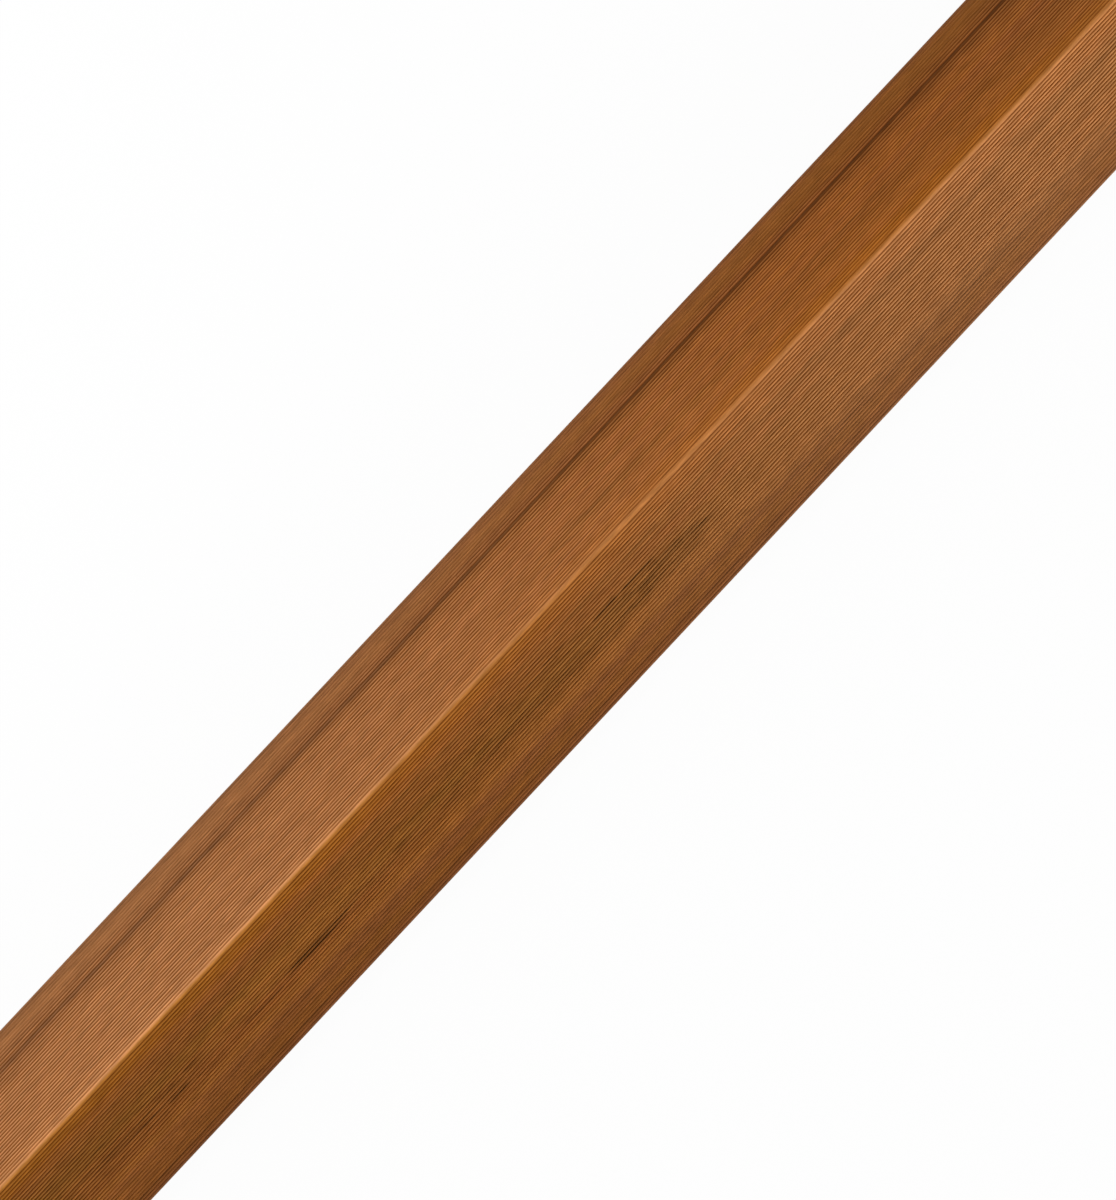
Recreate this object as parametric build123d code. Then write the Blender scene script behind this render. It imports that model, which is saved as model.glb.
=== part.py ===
"""Composite corner trim: one equal-leg angle of wood and plastic composite, extruded and sawn square.

The trim lies as it does unheld on a floor, with its arris on top and the edges of both legs down.
X runs along the trim, Y across it and Z up. The origin is on the floor, under the arris, halfway along.
"""

import os
from math import sqrt

from build123d import *

# Driving dimensions, in millimetres
LENGTH = 2200.0  # one stock length, between the two sawn ends
LEG = 50.0  # outer face of each leg, from the arris's sharp corner to the leg's edge
WALL = 8.0  # thickness of both legs
ARRIS_RADIUS = 1.5  # outer corner, where the two faces meet
EDGE_RADIUS = 1.0  # both corners of each leg's edge
ROOT_RADIUS = 2.0  # inner corner, where the legs join

# Each leg slopes at 45 degrees and stands on the inner corner of its edge, which its radius lifts a little
CORNER_LIFT = EDGE_RADIUS * (sqrt(2) - 1)
ARRIS_HEIGHT = (LEG + WALL) / sqrt(2) - CORNER_LIFT  # sharp corner of the arris, above the floor


def section_plane() -> Plane:
    """The cross-section's plane, halfway along: its origin is the arris's sharp corner, its axes the legs."""
    return Plane(origin=(0, 0, ARRIS_HEIGHT), x_dir=(0, 1, -1), z_dir=(-1, 0, 0))


def angle_section() -> Sketch:
    """The angle's section, with the arris, the root and the legs' edges rounded."""
    arris = (0, 0)
    root = (WALL, WALL)
    first_leg_edge = [(LEG, 0), (LEG, WALL)]
    second_leg_edge = [(WALL, LEG), (0, LEG)]
    with BuildSketch(section_plane()) as section:
        with BuildLine():
            Polyline(arris, *first_leg_edge, root, *second_leg_edge, close=True)
        make_face()
        corners = {
            ARRIS_RADIUS: [arris],
            ROOT_RADIUS: [root],
            EDGE_RADIUS: first_leg_edge + second_leg_edge,
        }
        for radius, points in corners.items():
            fillet([corner_at(section, point) for point in points], radius)
    return section.sketch


def corner_at(section: BuildSketch, point: tuple[float, float]) -> Vertex:
    """The section's vertex at a point given along the two legs."""
    return section.vertices().sort_by_distance((*point, 0))[0]


def corner_trim() -> Part:
    """The section carried half the length each way."""
    return extrude(angle_section(), amount=LENGTH / 2, both=True)


os.makedirs("parts", exist_ok=True)
export_step(corner_trim(), "parts/corner_trim.step")
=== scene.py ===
"""Dresses a composite corner trim: fine reeds on both faces, wood tones along its length and sawn ends.

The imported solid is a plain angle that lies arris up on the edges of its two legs. The surface here follows
the same section and adds what the die gives the real trim, a row of fine reeds on each face beside a smooth
arris. Its colour runs along the trim in bands, dark streaks and flame figures. Lengths are in metres, X runs
along the trim, Y across it and Z up.
"""

import logging
from dataclasses import dataclass, fields
from enum import Enum, IntEnum
from math import cos, pi, radians, sin, sqrt
from typing import NamedTuple

import bpy
import numpy as np
from mathutils import Matrix, Vector


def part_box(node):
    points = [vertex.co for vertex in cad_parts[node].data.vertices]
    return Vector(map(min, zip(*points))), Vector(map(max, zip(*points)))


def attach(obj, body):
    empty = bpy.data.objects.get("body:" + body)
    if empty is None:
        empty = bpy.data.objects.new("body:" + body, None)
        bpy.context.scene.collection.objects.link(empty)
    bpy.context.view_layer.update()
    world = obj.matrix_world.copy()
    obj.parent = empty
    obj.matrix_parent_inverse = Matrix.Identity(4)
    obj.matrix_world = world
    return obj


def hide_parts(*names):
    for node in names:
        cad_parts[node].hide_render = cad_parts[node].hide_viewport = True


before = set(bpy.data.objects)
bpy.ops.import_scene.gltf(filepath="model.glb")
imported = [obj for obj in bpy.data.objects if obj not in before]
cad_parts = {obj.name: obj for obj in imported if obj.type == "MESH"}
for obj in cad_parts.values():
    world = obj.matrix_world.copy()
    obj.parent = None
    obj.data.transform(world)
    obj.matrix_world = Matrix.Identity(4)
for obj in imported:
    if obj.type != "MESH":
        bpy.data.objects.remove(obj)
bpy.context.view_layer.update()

TRIM_NODE = "corner_trim"
TRIM_BODY = "root"
GROOVE_ATTRIBUTE = "groove"
FACE_CORNERS = 4
# How far a square corner rounded to a radius of 1 falls short of its sharp point
CORNER_CUT = sqrt(2) - 1
LOG = logging.getLogger("corner_trim")

Colour = tuple[float, float, float]
Socket = bpy.types.NodeSocket
Feed = Socket | float | Colour


class Rise(NamedTuple):
    """Where an eased share is still 0, and where it has become 1."""

    start: float
    end: float


class Side(Enum):
    """The two legs, named by the side of the arris that they are on, with the sign of their Y."""

    PLUS_Y = 1.0
    MINUS_Y = -1.0


class Slot(IntEnum):
    """The order of the trim's materials."""

    SKIN = 0
    SAWN = 1


class Stop(IntEnum):
    """Where the spans of half the section's outline begin and end, from the arris round to the root."""

    ARRIS_CROWN = 0
    FACE_START = 1
    FACE_END = 2
    EDGE_START = 3
    EDGE_END = 4
    INSIDE_START = 5
    INSIDE_END = 6
    ROOT_CROWN = 7


class PatternMap(Enum):
    """The trim's UV maps."""

    DRAWN = "drawn"
    BAKE = "OFBake"


class NodePen:
    """Adds nodes to one node tree and joins them."""

    # The places of a Mix node's sockets for colours: its share and its two colours, and its result
    MIX_INPUTS = (0, 6, 7)
    MIX_OUTPUT = 2

    def __init__(self, tree: bpy.types.NodeTree) -> None:
        """Keeps the node tree to draw in, of a material, a world or a group."""
        self.tree = tree

    def node(self, kind: str, **settings: object) -> bpy.types.Node:
        """Adds a node.

        Args:
            kind: the node's type name in Blender.
            settings: properties to set on the node.

        Returns:
            The new node.
        """
        made = self.tree.nodes.new(kind)
        for name, value in settings.items():
            setattr(made, name, value)
        return made

    def feed(self, socket: Socket, value: Feed) -> None:
        """Joins a socket to another one, or sets its own value.

        Args:
            socket: the input to feed.
            value: an output socket, a number or a colour.
        """
        if isinstance(value, Socket):
            self.tree.links.new(value, socket)
        elif isinstance(value, tuple) and len(socket.default_value) == len(value) + 1:
            socket.default_value = (*value, 1.0)
        else:
            socket.default_value = value

    def math(self, operation: str, *values: Feed) -> Socket:
        """Adds a Math node.

        Args:
            operation: Blender's name for the operation.
            values: what its inputs take, in order.

        Returns:
            The node's result.
        """
        made = self.node("ShaderNodeMath", operation=operation)
        for socket, value in zip(made.inputs, values):
            self.feed(socket, value)
        return made.outputs[0]

    def times(self, first: Feed, *others: Feed) -> Socket:
        """Multiplies numbers.

        Args:
            first: the first number.
            others: the numbers to multiply it by.

        Returns:
            Their product.
        """
        product = first
        for other in others:
            product = self.math("MULTIPLY", product, other)
        return product

    def bell(self, off: Feed, width: Feed) -> Socket:
        """A bell curve: 1 where off is 0, falling to 1 / e where off is one width to either side."""
        share = self.math("DIVIDE", off, width)
        return self.math("EXPONENT", self.times(share, share, -1.0))

    def share(self, wave: Feed) -> Socket:
        """Turns a wave from -1 to 1 into a share from 0 to 1."""
        return self.math("MULTIPLY_ADD", wave, 0.5, 0.5)

    def ease(self, value: Feed, start: Feed, end: Feed) -> Socket:
        """Rises smoothly from 0 at start to 1 at end.

        Args:
            value: what is compared with start and end.
            start: where the rise begins.
            end: where the rise ends.

        Returns:
            The eased share.
        """
        made = self.node("ShaderNodeMapRange", interpolation_type="SMOOTHSTEP")
        for name, source in {"Value": value, "From Min": start, "From Max": end}.items():
            self.feed(made.inputs[name], source)
        return made.outputs["Result"]

    def between(self, share: Feed, low: Feed, high: Feed) -> Socket:
        """Goes evenly from low to high as share goes from 0 to 1.

        Args:
            share: how far to go, held from 0 to 1.
            low: the value at 0.
            high: the value at 1.

        Returns:
            The value between.
        """
        made = self.node("ShaderNodeMapRange")
        for name, source in {"Value": share, "To Min": low, "To Max": high}.items():
            self.feed(made.inputs[name], source)
        return made.outputs["Result"]

    def mix(self, share: Feed, first: Feed, second: Feed) -> Socket:
        """Mixes two colours.

        Args:
            share: how much of the second colour is used.
            first: the colour underneath.
            second: the colour on top.

        Returns:
            The mixed colour.
        """
        made = self.node("ShaderNodeMix", data_type="RGBA")
        for number, value in zip(self.MIX_INPUTS, (share, first, second)):
            self.feed(made.inputs[number], value)
        return made.outputs[self.MIX_OUTPUT]

    def scaled(self, colour: Feed, factor: Feed) -> Socket:
        """Multiplies a colour by a number.

        Args:
            colour: the colour to scale.
            factor: the number.

        Returns:
            The scaled colour.
        """
        made = self.node("ShaderNodeVectorMath", operation="SCALE")
        self.feed(made.inputs[0], colour)
        self.feed(made.inputs["Scale"], factor)
        return made.outputs[0]

    def darkened(self, colour: Feed, share: Feed, keep: Colour) -> Socket:
        """Takes a colour down by a share.

        Args:
            colour: the colour to darken.
            share: how far it goes down.
            keep: how much is left of its red, green and blue at a share of 1.

        Returns:
            The darkened colour.
        """
        darkest = self.node("ShaderNodeVectorMath", operation="MULTIPLY")
        self.feed(darkest.inputs[0], colour)
        self.feed(darkest.inputs[1], keep)
        return self.mix(share, colour, darkest.outputs[0])

    def bump(self, height: Feed, strength: float, distance: float) -> Socket:
        """Adds a Bump node.

        Args:
            height: the height at each place.
            strength: how strong the bump is.
            distance: how far a height of 1 rises.

        Returns:
            The bumped normal.
        """
        made = self.node("ShaderNodeBump")
        for name, value in {"Height": height, "Strength": strength, "Distance": distance}.items():
            self.feed(made.inputs[name], value)
        return made.outputs["Normal"]


class NumberGroup:
    """A shader node group whose inputs and outputs are all numbers."""

    def __init__(self, name: str, inputs: tuple[str, ...], output: str) -> None:
        """Starts the group with its sockets.

        Args:
            name: the group's name.
            inputs: the names of its inputs.
            output: the name of its output.
        """
        self.tree = bpy.data.node_groups.new(name, "ShaderNodeTree")
        for socket_name in inputs:
            self.tree.interface.new_socket(socket_name, in_out="INPUT", socket_type="NodeSocketFloat")
        self.tree.interface.new_socket(output, in_out="OUTPUT", socket_type="NodeSocketFloat")
        self.pen = NodePen(self.tree)
        self.given = self.pen.node("NodeGroupInput").outputs
        self.taken = self.pen.node("NodeGroupOutput").inputs[output]

    def place(self, pen: NodePen, values: dict[str, Feed]) -> Socket:
        """Places the group in a material.

        Args:
            pen: the material's pen.
            values: what each input takes, by its name.

        Returns:
            The group's output.
        """
        made = pen.node("ShaderNodeGroup", node_tree=self.tree)
        for name, value in values.items():
            pen.feed(made.inputs[name], value)
        return made.outputs[0]


@dataclass(frozen=True)
class Draw:
    """How far a pattern is drawn out along the trim, as a tone is when the melt is pushed through the die.

    Args:
        length: its length along the trim.
        width: its width round the section.
        seed: which of the like patterns it is.
        detail: how many finer layers it has.
    """

    length: float
    width: float
    seed: float
    detail: float = 2.0


class DrawnNoise(NumberGroup):
    """Noise that is drawn out along the trim."""

    def __init__(self) -> None:
        """Builds the group: noise at the point (along / length, across / width, seed)."""
        super().__init__("drawn noise", ("Along", "Across", "Length", "Width", "Seed", "Detail"), "Value")
        pen, given = self.pen, self.given
        point = pen.node("ShaderNodeCombineXYZ")
        pen.feed(point.inputs["X"], pen.math("DIVIDE", given["Along"], given["Length"]))
        pen.feed(point.inputs["Y"], pen.math("DIVIDE", given["Across"], given["Width"]))
        pen.feed(point.inputs["Z"], given["Seed"])
        noise = pen.node("ShaderNodeTexNoise")
        noise.inputs["Scale"].default_value = 1.0
        pen.feed(noise.inputs["Vector"], point.outputs[0])
        pen.feed(noise.inputs["Detail"], given["Detail"])
        pen.feed(self.taken, noise.outputs["Fac"])


@dataclass(frozen=True)
class Streak:
    """One streak of the colour, dark or pale, along one face.

    Args:
        side: the leg whose outer face it is on.
        start: where it begins along X.
        end: where it ends along X.
        distance: from the arris's crown to its middle, round the section, at its start.
        width: how far it reaches to each side of its middle.
        strength: how strong it is in its middle, where 1 is the full effect.
        drift: how far its middle moves away from the arris on the way to its end.
        fade: the length over which each end fades.
        breaks: how much it is broken up along its length, from 0 to 1.
    """

    side: Side
    start: float
    end: float
    distance: float
    width: float
    strength: float
    drift: float = 0.0
    fade: float = 0.03
    breaks: float = 0.3


class StreakMask(NumberGroup):
    """How strong one streak is at each place."""

    def __init__(self) -> None:
        """Builds the group: a bell across the streak, times a rise and a fall along it, with gaps."""
        own = tuple(field.name for field in fields(Streak))
        super().__init__("streak mask", ("along", "across", "broken", *own), "mask")
        pen, given = self.pen, self.given
        start, end, fade = given["start"], given["end"], given["fade"]
        run = pen.math("SUBTRACT", given["along"], start)
        share = pen.math("DIVIDE", run, pen.math("SUBTRACT", end, start))
        middle = pen.math("MULTIPLY_ADD", share, given["drift"], given["distance"])
        off = pen.math("SUBTRACT", pen.times(given["across"], given["side"]), middle)
        rise = pen.ease(given["along"], start, pen.math("ADD", start, fade))
        fall = pen.ease(given["along"], end, pen.math("SUBTRACT", end, fade))
        kept = pen.between(given["broken"], pen.math("SUBTRACT", 1.0, given["breaks"]), 1.0)
        pen.feed(self.taken, pen.times(pen.bell(off, given["width"]), rise, fall, kept, given["strength"]))


@dataclass(frozen=True)
class Flame:
    """A flame figure, as in flat-sawn grain: a dark line from a tip along both sides, with a haze inside it.

    Args:
        side: the leg whose outer face it is on.
        tip: where its tip is along X.
        reach: how far it goes from the tip before it has faded, negative towards -X.
        distance: from the arris's crown to its tip, round the section.
        drift: how far its middle moves away from the arris over its reach.
        spread: half its width at the end of its reach.
        width: half the width of its dark line.
        line: how dark its line is at the tip, on the side of the arris.
        far_line: how dark its line is at the tip, on the side of the leg's edge.
        haze: how dark it is inside the line at the tip.
    """

    side: Side
    tip: float
    reach: float
    distance: float
    drift: float
    spread: float
    width: float = 0.0009
    line: float = 0.5
    far_line: float = 0.25
    haze: float = 0.3


class FlameMask(NumberGroup):
    """How dark one flame figure makes each place."""

    # The power by which it opens from its tip
    OPENING = 0.3
    # Where it comes in at its tip, and where it fades, as shares of its reach
    TIP = Rise(-0.01, 0.02)
    FADING = Rise(1.0, 0.1)
    # Where the haze comes in, from outside the line to inside it, in half widths of the line
    HAZE_EDGE = Rise(2.0, -3.0)

    def __init__(self) -> None:
        """Builds the group.

        With q the distance from the tip as a share of the reach, the figure's half width is its spread times
        q to the power OPENING. The line is a bell about that edge, the haze lies within it, and both fade as
        q goes to 1.
        """
        own = tuple(field.name for field in fields(Flame))
        super().__init__("flame mask", ("along", "across", "broken", "patchy", *own), "mask")
        pen, given = self.pen, self.given
        width = given["width"]
        gone = pen.math("DIVIDE", pen.math("SUBTRACT", given["along"], given["tip"]), given["reach"])
        inside = pen.math("MAXIMUM", gone, 0.0)
        half = pen.times(given["spread"], pen.math("POWER", inside, self.OPENING))
        middle = pen.math("MULTIPLY_ADD", inside, given["drift"], given["distance"])
        off = pen.math("SUBTRACT", pen.times(given["across"], given["side"]), middle)
        past_line = pen.math("SUBTRACT", pen.math("ABSOLUTE", off), half)
        far = pen.ease(off, pen.times(width, -1.0), width)
        strength = pen.between(far, given["line"], given["far_line"])
        line = pen.times(pen.bell(past_line, width), strength, given["broken"])
        haze_limits = [pen.times(width, limit) for limit in self.HAZE_EDGE]
        haze = pen.times(pen.ease(past_line, *haze_limits), given["haze"], given["patchy"])
        kept = pen.times(pen.ease(gone, *self.TIP), pen.ease(gone, *self.FADING))
        pen.feed(self.taken, pen.times(pen.math("MAXIMUM", line, haze), kept))


DARK_STREAKS = (
    # The long dark line near the edge of the +Y leg, and a fainter one beside it
    Streak(Side.PLUS_Y, -0.100, 0.900, 0.0364, 0.00036, 1.30, fade=0.16, breaks=0.06),
    Streak(Side.PLUS_Y, -0.020, 0.900, 0.0346, 0.00200, 0.20, fade=0.08),
    # A broad darker band nearer the arris on the same leg, and thin lines
    Streak(Side.PLUS_Y, 0.060, 0.600, 0.0162, 0.00460, 0.12, fade=0.06),
    Streak(Side.PLUS_Y, 0.130, 0.180, 0.0183, 0.00070, 0.24, fade=0.02),
    Streak(Side.PLUS_Y, 0.005, 0.068, 0.0155, 0.00060, 0.36, fade=0.025),
    Streak(Side.PLUS_Y, -0.500, -0.010, 0.0100, 0.00045, 0.24, drift=-0.0044, fade=0.08),
    Streak(Side.PLUS_Y, -0.155, -0.115, 0.0068, 0.00050, 0.36, fade=0.015),
    Streak(Side.PLUS_Y, -0.180, -0.143, 0.0233, 0.00060, 0.30, drift=0.0011, fade=0.012),
    Streak(Side.PLUS_Y, -0.400, -0.165, 0.0216, 0.00150, 0.16, fade=0.03),
    # Dashes along the flames on the -Y leg, from the tip on
    Streak(Side.MINUS_Y, 0.043, 0.053, 0.0239, 0.00090, 0.56, fade=0.004),
    Streak(Side.MINUS_Y, 0.033, 0.043, 0.0218, 0.00230, 0.54, fade=0.004),
    Streak(Side.MINUS_Y, 0.023, 0.033, 0.0206, 0.00150, 0.62, fade=0.004),
    Streak(Side.MINUS_Y, 0.013, 0.032, 0.0188, 0.00080, 0.70, fade=0.005),
    Streak(Side.MINUS_Y, 0.016, 0.029, 0.0239, 0.00150, 0.56, fade=0.004),
    Streak(Side.MINUS_Y, 0.010, 0.026, 0.0270, 0.00080, 0.52, fade=0.005),
    Streak(Side.MINUS_Y, 0.000, 0.016, 0.0187, 0.00110, 0.80, fade=0.005),
    Streak(Side.MINUS_Y, -0.036, 0.016, 0.0295, 0.00080, 0.38, drift=-0.0015, fade=0.008),
    Streak(Side.MINUS_Y, -0.022, -0.006, 0.0162, 0.00090, 0.50, fade=0.005),
    Streak(Side.MINUS_Y, -0.055, -0.017, 0.0253, 0.00200, 0.46, fade=0.008),
    Streak(Side.MINUS_Y, -0.048, -0.028, 0.0149, 0.00080, 0.46, fade=0.006),
    Streak(Side.MINUS_Y, -0.056, -0.043, 0.0219, 0.00090, 0.52, fade=0.004),
    Streak(Side.MINUS_Y, -0.076, -0.056, 0.0258, 0.00180, 0.38, fade=0.006),
    Streak(Side.MINUS_Y, -0.094, -0.081, 0.0245, 0.00250, 0.34, fade=0.004),
    Streak(Side.MINUS_Y, -0.150, -0.108, 0.0271, 0.00100, 0.95, fade=0.018, breaks=0.15),
    Streak(Side.MINUS_Y, -0.147, -0.106, 0.0258, 0.00080, 0.80, fade=0.012),
    Streak(Side.MINUS_Y, -0.167, -0.141, 0.0279, 0.00110, 0.48, fade=0.006),
    Streak(Side.MINUS_Y, -0.188, -0.177, 0.0223, 0.00120, 0.52, fade=0.004),
    Streak(Side.MINUS_Y, -0.198, -0.184, 0.0270, 0.00120, 0.80, fade=0.005),
    Streak(Side.MINUS_Y, -0.235, -0.190, 0.0243, 0.00080, 0.56, drift=0.0023, fade=0.012),
    # Bands and lines beside them, towards the arris and towards the leg's edge
    Streak(Side.MINUS_Y, -0.600, 0.130, 0.0065, 0.00050, 0.14, fade=0.15),
    Streak(Side.MINUS_Y, -0.900, 0.100, 0.0150, 0.01200, 0.18, fade=0.12),
    Streak(Side.MINUS_Y, -0.600, 0.060, 0.0280, 0.00350, 0.24, fade=0.12),
    Streak(Side.MINUS_Y, 0.050, 0.600, 0.0122, 0.00260, 0.15, fade=0.08),
    Streak(Side.MINUS_Y, -0.260, 0.550, 0.0383, 0.00450, 0.28, fade=0.12),
    Streak(Side.MINUS_Y, -0.700, 0.100, 0.0381, 0.00060, 0.14, fade=0.10),
    Streak(Side.MINUS_Y, -0.900, 0.160, 0.0459, 0.00090, 0.28, fade=0.15),
)

DULL_STREAKS = (
    # The soft line that goes on where the long dark one ends, and a haze round both
    Streak(Side.PLUS_Y, -0.800, 0.050, 0.0362, 0.00150, 0.44, fade=0.10, breaks=0.15),
    Streak(Side.PLUS_Y, -0.900, 0.900, 0.0364, 0.00600, 0.08, fade=0.10),
)

PALE_STREAKS = (
    Streak(Side.PLUS_Y, -0.600, 0.070, 0.0435, 0.00120, 0.08, fade=0.10),
    Streak(Side.PLUS_Y, -0.100, 0.050, 0.0303, 0.00120, 0.07, fade=0.04),
    Streak(Side.MINUS_Y, -0.900, 0.060, 0.0340, 0.00220, 0.08, fade=0.10),
    Streak(Side.MINUS_Y, -0.600, 0.600, 0.0076, 0.00050, 0.14, fade=0.15),
    Streak(Side.MINUS_Y, -0.185, -0.080, 0.0197, 0.00290, 0.20, fade=0.03),
)

FLAMES = (
    # The flame in the middle of the -Y leg, its denser tip and one that begins inside it
    Flame(Side.MINUS_Y, 0.050, -0.32, 0.0248, -0.0070, 0.0095, line=0.42, far_line=0.30, haze=0.36),
    Flame(Side.MINUS_Y, 0.050, -0.08, 0.0238, -0.0045, 0.0040, line=0.44, far_line=0.34, haze=0.60),
    Flame(Side.MINUS_Y, -0.174, -0.24, 0.0232, -0.0030, 0.0060, line=0.36, far_line=0.30, haze=0.42),
    # Others along the rest of the trim
    Flame(Side.MINUS_Y, 0.760, -0.34, 0.0290, -0.0050, 0.0080, line=0.36),
    Flame(Side.MINUS_Y, -0.640, -0.30, 0.0200, 0.0030, 0.0075, line=0.36),
    Flame(Side.PLUS_Y, 0.620, -0.30, 0.0180, 0.0040, 0.0070, line=0.32),
    Flame(Side.PLUS_Y, -0.500, -0.34, 0.0250, -0.0040, 0.0085, line=0.36),
)


@dataclass(frozen=True)
class GroupKit:
    """The node groups that the materials share."""

    noise: DrawnNoise
    streak: StreakMask
    flame: FlameMask


class DrawnPlace:
    """The place on the trim's drawn map, in one material, and the patterns that depend on it."""

    def __init__(self, pen: NodePen, kit: GroupKit) -> None:
        """Reads the drawn map.

        Args:
            pen: the material's pen.
            kit: the node groups.
        """
        drawn = pen.node("ShaderNodeUVMap", uv_map=PatternMap.DRAWN.value)
        parts = pen.node("ShaderNodeSeparateXYZ")
        pen.feed(parts.inputs[0], drawn.outputs["UV"])
        self.along, self.across = parts.outputs["X"], parts.outputs["Y"]
        self.distance = pen.math("ABSOLUTE", self.across)
        self.pen, self.kit = pen, kit

    def leg_value(self, change: float, values: tuple[Feed, Feed]) -> Socket:
        """Goes from the -Y leg's value to the +Y leg's, within a distance of change from the arris."""
        return self.pen.between(self.pen.ease(self.across, -change, change), *values)

    def noise(self, draw: Draw) -> Socket:
        """Noise with the length, width, seed and detail that draw gives, mostly from 0.3 to 0.7."""
        values = {field.name.title(): getattr(draw, field.name) for field in fields(draw)}
        return self.kit.noise.place(self.pen, {"Along": self.along, "Across": self.across, **values})

    def swing(self, draw: Draw, by: float) -> Socket:
        """A factor about 1 that follows a noise, from 1 - by where that is 0 to 1 + by where it is 1."""
        return self.pen.between(self.noise(draw), 1.0 - by, 1.0 + by)

    def figure(self, group: NumberGroup, item: Streak | Flame, **noises: Socket) -> Socket:
        """How strong a streak or a flame is at each place.

        Args:
            group: the group that draws it.
            item: the streak or the flame.
            noises: what breaks it up, each from 0 to 1.

        Returns:
            The strength, where 1 is the full effect.
        """
        values = {field.name: getattr(item, field.name) for field in fields(item)}
        values["side"] = item.side.value
        return group.place(self.pen, {"along": self.along, "across": self.across, **noises, **values})

    def strongest(self, masks: list[Socket]) -> Socket:
        """The strongest of several masks at each place.

        Args:
            masks: one or more masks.

        Returns:
            Their maximum.
        """
        most, *others = masks
        for other in others:
            most = self.pen.math("MAXIMUM", most, other)
        return most

    def streaks(self, items: tuple[Streak, ...], broken: Socket) -> Socket:
        """How strong the strongest of several streaks is at each place, with broken to break them up."""
        return self.strongest([self.figure(self.kit.streak, item, broken=broken) for item in items])


def start_material(name: str) -> tuple[bpy.types.Material, NodePen, bpy.types.Node]:
    """Starts a material.

    Args:
        name: its name.

    Returns:
        The material, the pen for its nodes and its Principled BSDF.
    """
    made = bpy.data.materials.new(name)
    made.use_nodes = True
    return made, NodePen(made.node_tree), made.node_tree.nodes["Principled BSDF"]


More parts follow.
